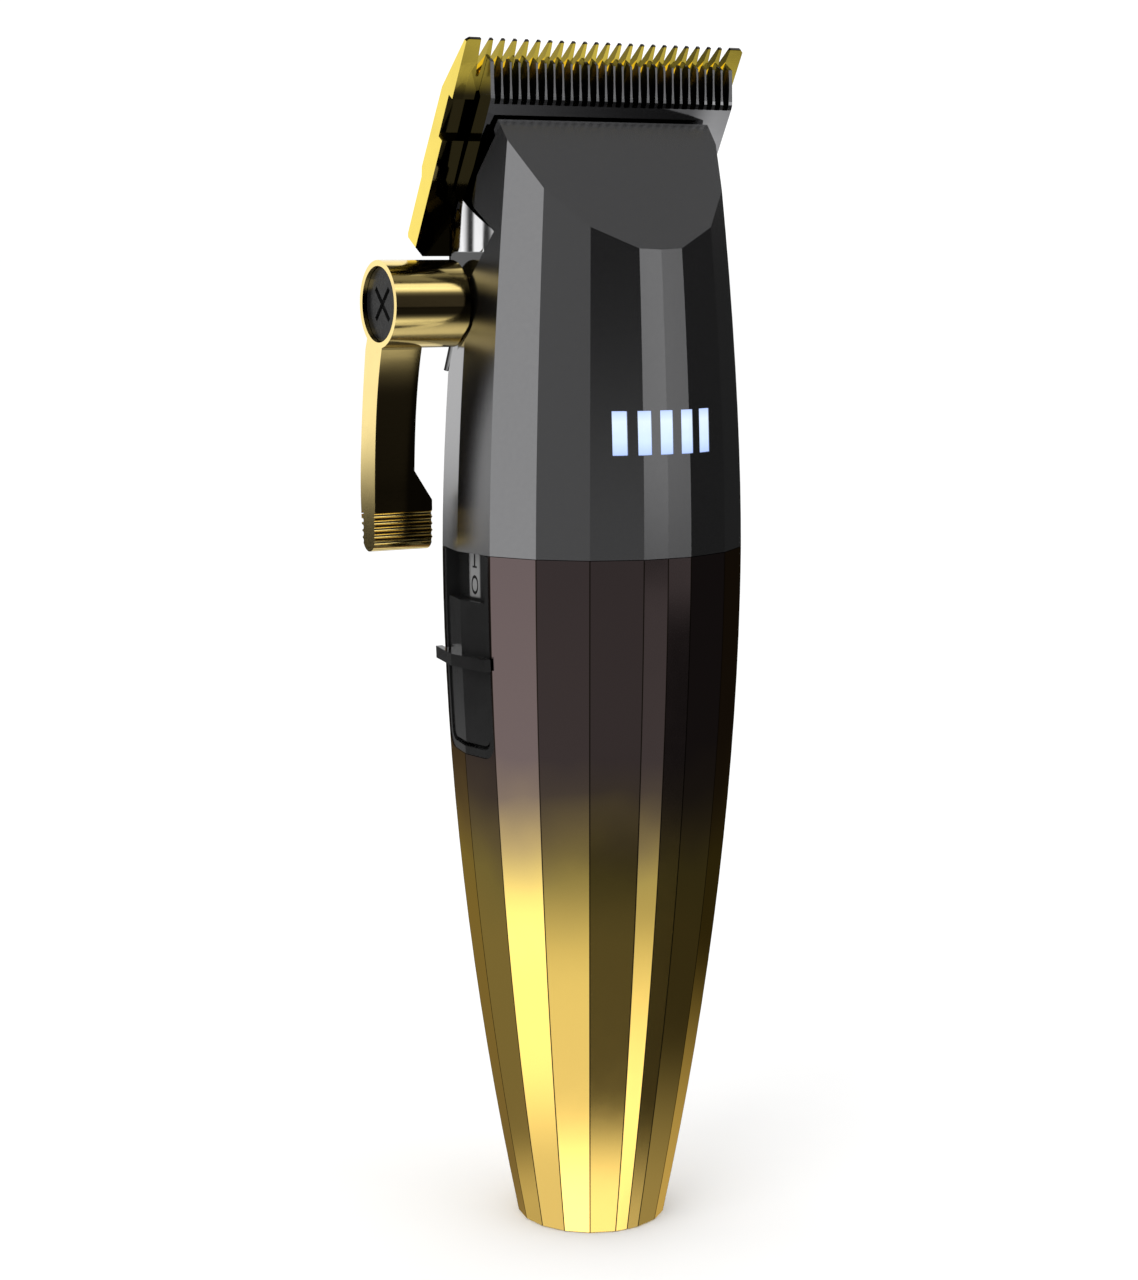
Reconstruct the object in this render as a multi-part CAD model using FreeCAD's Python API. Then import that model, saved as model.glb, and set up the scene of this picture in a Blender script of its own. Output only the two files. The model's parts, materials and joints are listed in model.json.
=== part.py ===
import FreeCAD, Part
import math
import os
from FreeCAD import Placement, Rotation, Vector

# Cordless hair clipper. Millimetres, +Z up, front towards -Y, lever and power switch on -X.
# The origin is the centre of the flat tail face. Boxes are given as (x0, x1, y0, y1, z0, z1).

FAR = 60.0                  # larger than any half size of the body
PAST = 1.0                  # how far a cut runs past the face that it opens
SNUG = 0.05                 # gap between a window and the piece that fills it
LOOSE = 0.1                 # gap between pieces that lie against each other

# ---- body: an eighteen-sided spindle that is widest at the seam between its two housings
SIDES = 18                  # facets round the body, with ridges at 10, 30, 50 ... degrees
SEAM_Z = 104.4              # height of the seam between lower housing and head housing
SEAM_R = 22.62              # ridge radius at the seam
TAIL_R = 11.41              # ridge radius at the tail face
TAIL_POWER = 1.9            # how the tail curves in
HEAD_R = 18.4               # ridge radius at HEAD_REF_Z
HEAD_REF_Z = 164.9
HEAD_POWER = 1.65           # how the head curves in
FRONT_RIDGE = 0.992         # the extra front ridge stands at this share of the ridge radius
SECTION_SPACING = 13.0      # height between the sections that shape the body
LOWER_WALL = 1.6
HEAD_WALL = 1.8
SEAM_GAP = 0.1
RING_Z0 = 100.0             # spigot ring inside the seam
RING_Z1 = 109.0
RING_INSET = 1.85           # outer face of the ring below the body's skin
RING_BORE_INSET = 3.2       # inner face of the ring below the body's skin

# ---- cover scallop and the rear edge of the head housing, as (y, z) points
COVER_TOP_Y = -3.73
COVER_TOP_Z = 166.6
SCALLOP_ANGLE = 41.5        # degrees from vertical
SCALLOP_REACH = 80.0        # how far down the sloping plane is drawn
REAR_EDGE = [(-3.73, 166.6), (-3.0, 165.2), (-3.5, 164.4), (0.0, 158.8), (1.54, 155.2),
             (-5.1, 150.8), (0.0, 143.6), (5.1, 135.2), (7.4, 130.1), (30.0, 130.1)]
REAR_EDGE_GAP = 0.25        # between that edge and the head frame
ABOVE_ALL_Z = 200.0

# ---- blade frame: built upright with its tooth tips at the origin, then leaned and placed
BLADE_LEAN = 31.0           # degrees the blade plane leans from vertical
BLADE_TIP_Y = -4.97
BLADE_TIP_Z = 177.64
FIXED_HALF_WIDTH = 23.0
FIXED_LENGTH = 35.5
FIXED_PROFILE = [(0, 0), (0.5, 0), (3.8, -9.6), (4.0, -22.7), (3.35, -24.0), (3.3, -33.5), (2.0, -35.5),
                 (0, -35.5), (0, -16.2), (1.25, -16.2), (1.25, -9.5), (0, -9.5)]
BLADE_BEHIND = 6.0          # clear of the fixed blade's back
FIXED_TEETH = 21
FIXED_PITCH = 1.905
FIXED_GAP_DEPTH = 5.9
FIXED_GAP_TOP = 0.76        # half width of a gap at the tips
FIXED_GAP_ROOT = 0.24       # half width of a gap at its rounded root
TIP_CORNER = 0.5            # cut off the two outer corners at the tips
HEEL_CORNER = 1.5           # cut off the two outer corners at the heel
SEAT_TOP = -25.2            # top of the seat, along the blade from its tips
SEAT_DEPTH = (-13.0, 5.0)
CHEEK_TOP = -23.15          # top of the frame's cheeks, which stand in front of the moving blade
CHEEK_BACK = -4.5           # back of the cheeks, in front of the cutting plane
SEAT_OUTLINE = [(-18.7, -25.2), (18.7, -25.2), (18.7, -34.0), (11.5, -46.0), (-11.5, -46.0), (-18.7, -34.0)]
MOVING_TEETH = 29
MOVING_PITCH = 1.4156
MOVING_FRONT = 3.95         # front face in front of the cutting plane
MOVING_PROFILE = [(-0.06, -2.9), (-1.1, -2.9), (-3.85, -7.2), (-3.95, -8.0), (-3.95, -18.4), (-3.4, -22.6),
                  (-3.4, -24.8), (-0.45, -24.8), (-0.85, -8.6), (-0.06, -8.0)]
MOVING_HALF_TOOTH = 0.42    # from the middle of an end tooth to the blade's side
STROKE = 1.15               # eccentric throw, half of the blade's side-to-side stroke
WHEEL_R = 4.45              # grinding wheel that leaves the scooped gaps between the moving teeth
WHEEL_FRONT = 3.8           # its axis in front of the cutting plane
WHEEL_DOWN = 3.6            # its axis below the fixed tips
WHEEL_RIM = 0.425           # half width at the rim
WHEEL_HUB_R = 1.0
WHEEL_HUB = 0.64            # half width at WHEEL_HUB_R
BLADE_SCREW_X = 10.0
BLADE_SCREW_DOWN = 32.0     # blade screws below the fixed tips, along the blade
BLADE_SCREW_R = 1.2
BLADE_SCREW_HOLE_R = 1.6
BLADE_SCREW_TIP = -3.8      # how far the shank reaches into the seat
BLADE_SCREW_HEAD_R = 2.8
BLADE_SCREW_SEAT = 2.2      # how far behind the cutting plane the head sits
BLADE_SCREW_BACK = 3.2
DRIVER_SLOT = 0.35          # half width of a driver slot

# ---- head frame: the bright round neck behind the head housing
NECK_R = 20.0
NECK_Y = 2.75
NECK_FLARE_R = 20.9         # radius at the foot
NECK_Z0 = 130.4
NECK_Z1 = 134.5             # the flare ends here
NECK_TOP_Z = 159.0
HEEL_OUTLINE = [(-60, 120), (21.9, 120), (21.5, 130.2), (16.5, 148.8), (16.5, 160), (-60, 160)]
SKIRT_Z0 = 128.2            # the part of the frame inside the housing
SKIRT_Z1 = 147.0
FRAME_WALL = 1.7
FRAME_BELOW_BLADE = 0.5     # the frame steps back this far below the fixed blade
HOLLOW_FRONT = (-60.0, 60.0, -60.0, -4.5, -90.0, 10.0)
BETWEEN_WALLS = (-16.9, 16.9, -60.0, -4.5, -44.0, 10.0)
POCKET_FLOOR_X = -19.3      # flat floor of the pocket behind the lever hub
POCKET_OUTLINE = [(-2.6, 144.7), (-3.2, 148.9), (-1.6, 147.9), (13.5, 147.9), (13.5, 134.9), (5.45, 134.9)]

# ---- taper lever
LEVER_Y = 4.45
LEVER_Z = 140.43
HUB_R = 6.33
HUB_OUTER_X = -32.9
HUB_INNER_X = -21.1
HUB_GAP = 0.45              # room round the hub
HUB_END_GAP = 0.35          # room at the hub's inner end
HUB_RECESS_R = 5.5
HUB_RECESS_DEPTH = 1.9
LEVER_CAP_R = 5.4
LEVER_CAP_X = -32.2         # outer face of the cap
CROSS_HALF_LENGTH = 3.2
CROSS_HALF_WIDTH = 0.42
CROSS_DEPTH = 0.5
SHAFT_R = 2.5
SHAFT_INNER_X = -15.5
SHAFT_HOLE_R = 4.6          # hole in the head housing
BUSH_R = 3.7
BUSH_BORE_R = 2.56
BUSH_X0 = -20.6
BUSH_X1 = -17.5
CRANK_R = 3.2               # lever crank throw
CRANK_DISC_R = 4.9
CRANK_ROOM_R = 5.4
CRANK_X0 = -17.2
CRANK_X1 = -15.4
CRANK_PIN_R = 1.2
CRANK_PIN_X = -12.8
CRANK_ROOM_END = 2.8
LEVER_SWING = 45.0          # degrees
ARM_INNER_X = -26.5         # inner face of the arm above the pad
PAD_INNER_X = -23.6         # inner face of the thumb pad
ARM_STEP_Z0 = 111.6         # the step between arm and pad
ARM_STEP_Z1 = 116.0
ARM_FRONT = [(3.4, 133.9), (5.2, 126.4), (6.0, 119.2), (6.3, 112.1), (6.3, 106.6)]
ARM_BACK = [(10.8, 106.6), (11.3, 112.1), (11.0, 119.2), (10.2, 126.4), (9.0, 133.9)]
ARM_TIP = (8.55, 104.15)
ARM_ROOT = [(9.0, 133.9), (7.5, 137.4), (2.4, 137.4), (3.4, 133.9)]
RIB_Z0 = 104.6              # lowest groove of the thumb pad
RIB_PITCH = 1.0
RIB_GROOVE_R = 0.38
RIBS = 6

# ---- drive: fork, carriage and leaf springs
YOKE_HALF_WIDTH = 7.6
YOKE_CHEEK = 2.0
YOKE_PLATE_Y0 = -6.1
YOKE_PLATE_Y1 = 4.9
YOKE_Z0 = 150.8
YOKE_Z1 = 153.8
YOKE_SLOT_HALF_WIDTH = 4.9
YOKE_SLOT_FRONT = 3.65      # slot in front of the motor axis
YOKE_SLOT_BACK = 4.95       # slot behind the motor axis
CHEEK_OUTLINE = [(-4.0, 153.0), (4.0, 153.0), (4.3, 153.9), (-0.6, 162.2), (-3.2, 160.6)]
CARRIAGE_BAR = (-16.6, 16.6, -3.4, -0.4, -28.4, -25.1)
CARRIAGE_WINGS = [(-18.1, -16.5, -3.4, -0.4, -28.9, -25.1), (16.5, 18.1, -3.4, -0.4, -28.9, -25.1)]
CARRIAGE_LIP = (-16.4, 16.4, -6.4, -3.4, -27.4, -25.6)
CARRIAGE_LIP_GAP = (-10.3, 10.3, -7.0, -3.5, -30.0, -20.0)
CARRIAGE_ARM = (-15.1, -13.1, -15.9, -0.4, -28.0, -25.1)
CARRIAGE_DROP = (-15.1, -13.1, -15.9, -12.1, -40.2, -25.1)
CRANK_SLOT = (-16.0, -12.0, -15.72, -12.62, -39.25, -36.69)
CARRIAGE_ROOM = (-60.0, 60.0, -3.8, 1.0, -27.2, 10.0)
WING_ROOM = (-18.5, 18.5, -3.8, 1.0, -29.3, 10.0)       # leaves a thin wall outside the carriage's wings
CARRIAGE_ROOM_DEEP = (-16.9, 16.9, -7.0, 1.0, -29.3, 10.0)
LEAF_X = 11.8
LEAF_HALF_WIDTH = 1.1
LEAF_FOOT = [(-6.9, -27.4), (-6.4, -27.4), (-6.4, -25.6), (-6.9, -25.6)]
LEAF_RISE = [(-6.9, -25.6), (-6.4, -25.6), (-4.35, -16.4), (-4.85, -16.4)]
LEAF_TOE = [(-4.85, -16.4), (-4.35, -16.4), (-4.75, -14.6), (-5.25, -14.6)]

# ---- motor
MOTOR_Y = -1.0
MOTOR_R = 12.0
MOTOR_Z0 = 113.0
MOTOR_Z1 = 141.0
MOTOR_WALL = 0.9
MOTOR_BOSS_R = 3.5
MOTOR_BOSS_Z = 142.6
MOTOR_TOP = 1.2             # thickness of the can's top
SHAFT_BORE_R = 1.25
MOTOR_SHAFT_R = 1.2
MOTOR_SHAFT_Z0 = 108.0
MOTOR_SHAFT_Z1 = 147.9
MOTOR_SCREW_X = 8.0
MOTOR_SCREW_HOLE_R = 1.0
MOTOR_SCREW_HEAD_R = 1.8
MOTOR_SCREW_HEAD = 1.3
MOTOR_SCREW_SLOT = 0.25     # half width of the driver slot
END_BELL_Z0 = 109.0
END_BELL_WALL = 1.5
END_BELL_FLOOR_Z = 111.5
MAGNET_Z0 = 118.0
MAGNET_Z1 = 136.0
MAGNET_OUTER = 1.0          # magnets' outer face inside the can's radius
MAGNET_INNER = 2.8
MAGNET_GAP = 2.5            # half of the gap between the two magnets
ROTOR_R = 8.6
ROTOR_Z0 = 119.0
ROTOR_Z1 = 135.0
ROTOR_SLOT = 1.1            # half width of a slot between poles
ROTOR_SLOT_R = 2.8
COMMUTATOR_R = 2.6
COMMUTATOR_Z = 113.2
DISC_R = 4.2
DISC_Z0 = 144.6
DISC_Z1 = 148.6
ECCENTRIC_PIN_R = 1.2
ECCENTRIC_TOP_Z = 157.0
BEARING_R = 2.2
BEARING_Z0 = 149.6
BEARING_Z1 = 156.6
BRACKET = (-11.8, 11.8, -60.0, 9.0, 141.05, 143.0)
BRACKET_INSET = 3.65        # bracket's round edge below the body's skin
BRACKET_MARGIN = 5.0

# ---- chassis and battery cell
BACK_PLATE = (-8.6, 8.6, 8.7, 10.3, 9.4, 106.0)
LOW_WALL_Z0 = 11.8
LOW_WALL_Z1 = 14.2
LOW_WALL_BRIDGE = (-6.0, 6.0, -1.0, 10.0, 11.8, 14.2)
SCREW_POST_R = 2.2
TOP_WALL = (-9.0, 9.0, -9.0, 10.0, 81.4, 83.4)
CUP_WALL = 1.7
CUP_Z0 = 104.6
CUP_Z1 = 119.0
CUP_FLOOR_Z = 108.7
CUP_HOLE_R = 8.0
CELL_R = 9.2
CELL_Y = -1.0
CELL_Z0 = 15.2
CELL_LENGTH = 65.0
CELL_BUTTON_R = 3.0
CELL_BUTTON = 0.8           # height of the cell's end button
LOW_CONTACT = (-4.0, 4.0, -5.0, 3.0, 14.3, 15.1)
TOP_CONTACT = (-3.0, 3.0, -5.0, 3.0, 80.3, 81.3)

# ---- circuit boards
MAIN_BOARD = (-8.5, 8.5, 11.3, 12.5, 40.0, 100.0)
PARTS_Y = 12.6              # the components stand on the board's outer face from here
CHARGER_CHIP = (-4.0, 4.0, 12.6, 13.7, 50.0, 57.0)
DRIVER_CHIP = (-3.0, 3.0, 12.6, 13.8, 64.0, 68.0)
COIL_Z = 76.0
COIL_R = 3.5
COIL_Y = 15.4
CAPACITOR_X = 4.0
CAPACITOR_Z = 88.0
CAPACITOR_R = 2.0
CAPACITOR_Y = 16.2
INDICATOR_BOARD = (-9.0, 9.0, -15.9, -15.0, 117.6, 127.4)

# ---- battery gauge on the front of the head
GAUGE_BARS = 5
GAUGE_PITCH = 3.5
GAUGE_BAR_WIDTH = 2.0
GAUGE_Z0 = 119.4
GAUGE_Z1 = 125.6
LED_HALF_WIDTH = 0.7
LED_Y0 = -16.6
LED_Y1 = -15.9
LED_Z0 = 121.5
LED_Z1 = 123.5
LENS_STRIP = (-9.3, 9.3, -60.0, 0.0, 118.4, 126.6)
LENS_INSET = 0.08           # bars below the body's skin
LENS_THICK = 1.5
LENS_Z0 = 112.0             # heights between which the lens surfaces are drawn
LENS_Z1 = 132.0

# ---- power switch
SWITCH_HALF_WIDTH = 7.2
SWITCH_Z0 = 74.2
SWITCH_FROM_Z = 70.0        # height from which the switch surfaces are drawn
WINDOW_RIGHT_X = -12.0      # inner end of the window cut
WINDOW_CORNER = 2.5
BEZEL_CORNER = 2.45
BEZEL_INSET = 0.12
BEZEL_BACK_INSET = 3.4
CHANNEL_GAP = 0.3
CHANNEL_RISE = 1.2          # channel's lower end above the bezel's
CHANNEL_CORNER = 1.6
CHANNEL_INSET = 2.2         # channel's floor below the body's skin
STEM_SLOT = (-60.0, 0.0, -2.2, 2.2, 83.0, 97.0)
SLIDER_HALF_WIDTH = 5.9
SLIDER_Z0 = 76.0
SLIDER_Z1 = 97.3
SLIDER_TOP_Z = 103.0
SLIDER_INSET = 0.35
SLIDER_BACK_INSET = 1.7
SLIDER_CORNER = 1.4
THUMB_Z0 = 87.6
THUMB_Z1 = 89.4
THUMB_OUT = 1.45            # how far the thumb ridge stands out of the body's skin
THUMB_ROOT = 1.0
WING_ROOT = 0.4             # underside of the wings above the body's skin
WING_REACH = 0.7            # how far the wings pass the window's edges
STEM = (-21.0, -16.4, -1.8, 1.8, 85.5, 90.5)
SWITCH_BOARD = (-11.4, -10.4, -6.0, 6.0, 82.5, 103.0)
SWITCH_BODY = (-15.6, -11.5, -3.4, 3.4, 83.0, 99.5)
SWITCH_HOLLOW = (-16.0, -13.4, -1.6, 1.6, 84.5, 98.6)
SWITCH_NUB = (-16.3, -13.8, -1.2, 1.2, 86.2, 89.8)

# ---- end cap with charging socket and contacts
CAP_THICK = 3.0
CAP_SCREW_X = 7.0
CAP_SCREW_R = 1.0
CAP_SCREW_HOLE_R = 1.05
CAP_SCREW_HEAD_R = 1.65
CAP_SCREW_HEAD_Z = 0.2
CAP_SCREW_TOP_Z = 8.0
CAP_RECESS_R = 1.75
CAP_RECESS = 1.3
CAP_CROSS_LONG = 1.0
CAP_CROSS_SHORT = 0.2
CAP_CROSS_DEPTH = 0.7
JACK_Y = 4.4
JACK_R = 2.8
JACK_DEPTH = 9.5
JACK_WALL = 1.1
JACK_Z0 = 1.2
JACK_PIN_R = 0.9
JACK_PIN_Z0 = 1.5
CONTACT_X = 3.2
CONTACT_Y = -4.6
CONTACT_R = 1.2
CONTACT_Z0 = 0.25
CONTACT_Z1 = 3.6


def box(x0, x1, y0, y1, z0, z1):
    """Box between two corners."""
    return Part.makeBox(x1 - x0, y1 - y0, z1 - z0, Vector(x0, y0, z0))


def rod_z(x, y, radius, z0, z1):
    """Upright cylinder."""
    return Part.makeCylinder(radius, z1 - z0, Vector(x, y, z0), Vector(0, 0, 1))


def rod_x(y, z, radius, x0, x1):
    """Cylinder along X."""
    return Part.makeCylinder(radius, x1 - x0, Vector(x0, y, z), Vector(1, 0, 0))


def rod_y(x, z, radius, y0, y1):
    """Cylinder along Y."""
    return Part.makeCylinder(radius, y1 - y0, Vector(x, y0, z), Vector(0, 1, 0))


def filled(points):
    """Flat face inside a closed outline."""
    return Part.Face(Part.makePolygon(points + points[:1]))


def prism_x(outline, x0, x1):
    """Closed outline of (y, z) points, pulled along X."""
    return filled([Vector(x0, y, z) for y, z in outline]).extrude(Vector(x1 - x0, 0, 0))


def prism_y(outline, y0, y1):
    """Closed outline of (x, z) points, pulled along Y."""
    return filled([Vector(x, y0, z) for x, z in outline]).extrude(Vector(0, y1 - y0, 0))


def prism_z(outline, z0, z1):
    """Closed outline of (x, y) points, pulled along Z."""
    return filled([Vector(x, y, z0) for x, y in outline]).extrude(Vector(0, 0, z1 - z0))


def union(shapes):
    """One shape from several."""
    return shapes[0].multiFuse(shapes[1:]).removeSplitter()


def largest(shape):
    """The biggest solid of a shape."""
    return sorted(shape.Solids, key=lambda solid: solid.Volume)[-1]


def on_blade(shape):
    """Lean a shape from the upright blade frame into its place."""
    shape.Placement = Placement(Vector(0, BLADE_TIP_Y, BLADE_TIP_Z), Rotation(Vector(1, 0, 0), BLADE_LEAN))
    return Part.Compound([shape]).Solids[0] if len(shape.Solids) == 1 else Part.Compound(shape.Solids)


def ridge_points(radius):
    """(x, y) of the body's ridges at a ridge radius."""
    points = []
    for ridge in range(SIDES):
        angle = math.radians(180 / SIDES + ridge * 360 / SIDES)
        points.append((radius * math.sin(angle), -radius * math.cos(angle)))
    return points


def body_radius(z):
    """Ridge radius of the body at height z."""
    if z < SEAM_Z:
        return SEAM_R - (SEAM_R - TAIL_R) * ((SEAM_Z - z) / SEAM_Z) ** TAIL_POWER
    return SEAM_R - (SEAM_R - HEAD_R) * ((z - SEAM_Z) / (HEAD_REF_Z - SEAM_Z)) ** HEAD_POWER


def body_section(z, inset):
    """Faceted outline of the body at height z, drawn in by inset."""
    radius = body_radius(z) - inset
    outline = [(0, -radius * FRONT_RIDGE)] + ridge_points(radius)
    points = [Vector(x, y, z) for x, y in outline]
    return Part.makePolygon(points + points[:1])


def body_solid(z0, z1, inset=0.0):
    """Solid of the body's outer shape between two heights, with facets that curve only upwards."""
    count = max(3, round((z1 - z0) / SECTION_SPACING) + 1)
    sections = [body_section(z0 + (z1 - z0) * step / (count - 1), inset) for step in range(count)]
    return Part.makeLoft(sections, True, False)


def scallop_side(inset):
    """Everything behind the sloping front plane of the cover, drawn in by inset."""
    slope = math.radians(SCALLOP_ANGLE)
    top_y = COVER_TOP_Y + inset / math.cos(slope)
    low_y = top_y - SCALLOP_REACH * math.tan(slope)
    low_z = COVER_TOP_Z - SCALLOP_REACH
    outline = [(top_y, COVER_TOP_Z), (low_y, low_z), (low_y, 0), (FAR, 0), (FAR, COVER_TOP_Z)]
    return prism_x(outline, -FAR, FAR)


def behind_rear_edge(shift):
    """The room behind the head housing's rear edge, moved back and up by shift."""
    outline = [(y + shift, z + shift) for y, z in REAR_EDGE]
    outline += [(FAR, REAR_EDGE[-1][1] + shift), (FAR, ABOVE_ALL_Z), (REAR_EDGE[0][0] + shift, ABOVE_ALL_Z)]
    return prism_x(outline, -FAR, FAR)


def on_lever_axis(radius, x0, x1):
    """Cylinder about the lever axis."""
    return rod_x(LEVER_Y, LEVER_Z, radius, x0, x1)


def hub_room():
    """Round room for the lever hub in the body's left side."""
    return on_lever_axis(HUB_R + HUB_GAP, HUB_OUTER_X, HUB_INNER_X + HUB_END_GAP)


def switch_window(half_width, z0, z1, corner):
    """Window through the left wall with two rounded lower corners."""
    shape = box(-FAR, WINDOW_RIGHT_X, -half_width, half_width, z0, z1)
    low = [edge for edge in shape.Edges
           if abs(edge.CenterOfMass.z - z0) < SNUG and abs(abs(edge.CenterOfMass.y) - half_width) < SNUG]
    return shape.makeFillet(corner, low)


# ---------------------------------------------------------------- housings

def lower_housing():
    shell = body_solid(0, SEAM_Z).cut(body_solid(0, SEAM_Z, LOWER_WALL))
    return shell.cut(switch_window(SWITCH_HALF_WIDTH + SNUG, SWITCH_Z0 - SNUG, SEAM_Z + PAST, WINDOW_CORNER))


def gauge_centres():
    return [(index - (GAUGE_BARS - 1) / 2) * GAUGE_PITCH for index in range(GAUGE_BARS)]


def gauge_windows(margin):
    """Row of upright bars that pass through the front wall, grown by margin all round."""
    half = GAUGE_BAR_WIDTH / 2 + margin
    return [box(x - half, x + half, -FAR, 0, GAUGE_Z0 - margin, GAUGE_Z1 + margin) for x in gauge_centres()]


def head_housing():
    z0 = SEAM_Z + SEAM_GAP
    outer = body_solid(z0, COVER_TOP_Z).common(scallop_side(0))
    inner = body_solid(z0, COVER_TOP_Z + PAST, HEAD_WALL).common(scallop_side(HEAD_WALL))
    shell = outer.cut(inner).cut(behind_rear_edge(0))
    shell = shell.cut(hub_room()).cut(on_lever_axis(SHAFT_HOLE_R, HUB_OUTER_X, 0))
    for bar in gauge_windows(SNUG):
        shell = shell.cut(bar)
    return shell


def seam_ring():
    """Spigot inside the seam that lines the two housings up."""
    ring = body_solid(RING_Z0, RING_Z1, RING_INSET)
    ring = ring.cut(body_solid(RING_Z0 - PAST, RING_Z1 + PAST, RING_BORE_INSET))
    half = SWITCH_HALF_WIDTH + WING_REACH
    return ring.cut(box(-FAR, 0, -half, half, RING_Z0 - PAST, SEAM_Z + LOOSE))


def end_cap():
    """Flat cap that closes the tail, with the socket hole and two contact holes."""
    cap = prism_z(ridge_points(body_radius(0) - LOWER_WALL - LOOSE), 0, CAP_THICK)
    cap = cap.cut(rod_z(0, JACK_Y, JACK_R + JACK_WALL + LOOSE, JACK_Z0, CAP_THICK + PAST))
    cap = cap.cut(rod_z(0, JACK_Y, JACK_R, -PAST, CAP_THICK))
    for x in (-CONTACT_X, CONTACT_X):
        cap = cap.cut(rod_z(x, CONTACT_Y, CONTACT_R + LOOSE, -PAST, CAP_THICK + PAST))
    for x in (-CAP_SCREW_X, CAP_SCREW_X):
        cap = cap.cut(rod_z(x, 0, CAP_SCREW_HOLE_R, -PAST, CAP_THICK + PAST))
        cap = cap.cut(rod_z(x, 0, CAP_RECESS_R, -PAST, CAP_RECESS))
    return cap


def end_cap_screws():
    screws = []
    for x in (-CAP_SCREW_X, CAP_SCREW_X):
        head = rod_z(x, 0, CAP_SCREW_HEAD_R, CAP_SCREW_HEAD_Z, CAP_RECESS)
        shank = rod_z(x, 0, CAP_SCREW_R, CAP_RECESS, CAP_SCREW_TOP_Z)
        long, short = CAP_CROSS_LONG, CAP_CROSS_SHORT
        cross = box(x - long, x + long, -short, short, 0, CAP_CROSS_DEPTH)
        cross = cross.fuse(box(x - short, x + short, -long, long, 0, CAP_CROSS_DEPTH))
        screws.append(head.fuse(shank).cut(cross).removeSplitter())
    return Part.Compound(screws)


def dc_jack():
    """Round charging socket with its centre pin."""
    sleeve = rod_z(0, JACK_Y, JACK_R + JACK_WALL, JACK_Z0, JACK_DEPTH + PAST)
    sleeve = sleeve.cut(rod_z(0, JACK_Y, JACK_R, 0, JACK_DEPTH))
    return sleeve.fuse(rod_z(0, JACK_Y, JACK_PIN_R, JACK_PIN_Z0, JACK_DEPTH + SNUG)).removeSplitter()


def charge_contacts():
    return Part.Compound([rod_z(x, CONTACT_Y, CONTACT_R, CONTACT_Z0, CONTACT_Z1)
                          for x in (-CONTACT_X, CONTACT_X)])


# ---------------------------------------------------------------- chassis, power and electronics

def chassis():
    """Moulded inner frame: end walls for the cell, a back plate and a cup for the motor."""
    low_wall = rod_z(0, CELL_Y, CELL_R, LOW_WALL_Z0, LOW_WALL_Z1).fuse(box(*LOW_WALL_BRIDGE))
    for x in (-CAP_SCREW_X, CAP_SCREW_X):
        post = rod_z(x, 0, SCREW_POST_R, CAP_THICK + LOOSE, LOW_WALL_Z1 - PAST)
        low_wall = low_wall.fuse(post.cut(rod_z(x, 0, CAP_SCREW_R, CAP_THICK, CAP_SCREW_TOP_Z + PAST)))
    cup = rod_z(0, MOTOR_Y, MOTOR_R + CUP_WALL, CUP_Z0, CUP_Z1)
    cup = cup.cut(rod_z(0, MOTOR_Y, MOTOR_R + LOOSE, CUP_FLOOR_Z, CUP_Z1 + PAST))
    cup = cup.cut(rod_z(0, MOTOR_Y, CUP_HOLE_R, CUP_Z0 - PAST, CUP_FLOOR_Z + PAST))
    jack_room = rod_z(0, JACK_Y, JACK_R + JACK_WALL + 2 * LOOSE, 0, JACK_DEPTH + PAST + LOOSE)
    frame = union([box(*BACK_PLATE), low_wall, box(*TOP_WALL), cup]).cut(jack_room)
    inside = body_solid(0, SEAM_Z, LOWER_WALL + 2 * LOOSE)
    return frame.common(inside.fuse(body_solid(SEAM_Z, CUP_Z1 + PAST, RING_BORE_INSET + 2 * LOOSE)))


def battery_cell():
    can = rod_z(0, CELL_Y, CELL_R, CELL_Z0, CELL_Z0 + CELL_LENGTH - CELL_BUTTON)
    return can.fuse(rod_z(0, CELL_Y, CELL_BUTTON_R, CELL_Z0, CELL_Z0 + CELL_LENGTH)).removeSplitter()


def cell_contacts():
    return Part.Compound([box(*LOW_CONTACT), box(*TOP_CONTACT)])


def main_board():
    return box(*MAIN_BOARD)


def board_parts():
    """Charge controller, motor driver, coil and capacitors on the board's outer face."""
    coil = rod_y(0, COIL_Z, COIL_R, PARTS_Y, COIL_Y)
    capacitors = [rod_y(x, CAPACITOR_Z, CAPACITOR_R, PARTS_Y, CAPACITOR_Y)
                  for x in (-CAPACITOR_X, CAPACITOR_X)]
    return Part.Compound([box(*CHARGER_CHIP), box(*DRIVER_CHIP), coil] + capacitors)


def indicator_board():
    return box(*INDICATOR_BOARD)


def indicator_leds():
    return Part.Compound([box(x - LED_HALF_WIDTH, x + LED_HALF_WIDTH, LED_Y0, LED_Y1, LED_Z0, LED_Z1)
                          for x in gauge_centres()])


def indicator_lens():
    """Clear strip behind the front wall with one bar standing through each window."""
    skin = body_solid(LENS_Z0, LENS_Z1, LENS_INSET)
    bars = [bar.common(skin) for bar in gauge_windows(0)]
    strip = box(*LENS_STRIP).common(body_solid(LENS_Z0, LENS_Z1, HEAD_WALL + LENS_INSET))
    return union(bars + [strip]).cut(body_solid(LENS_Z0, LENS_Z1, HEAD_WALL + LENS_THICK))


# ---------------------------------------------------------------- power switch

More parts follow.
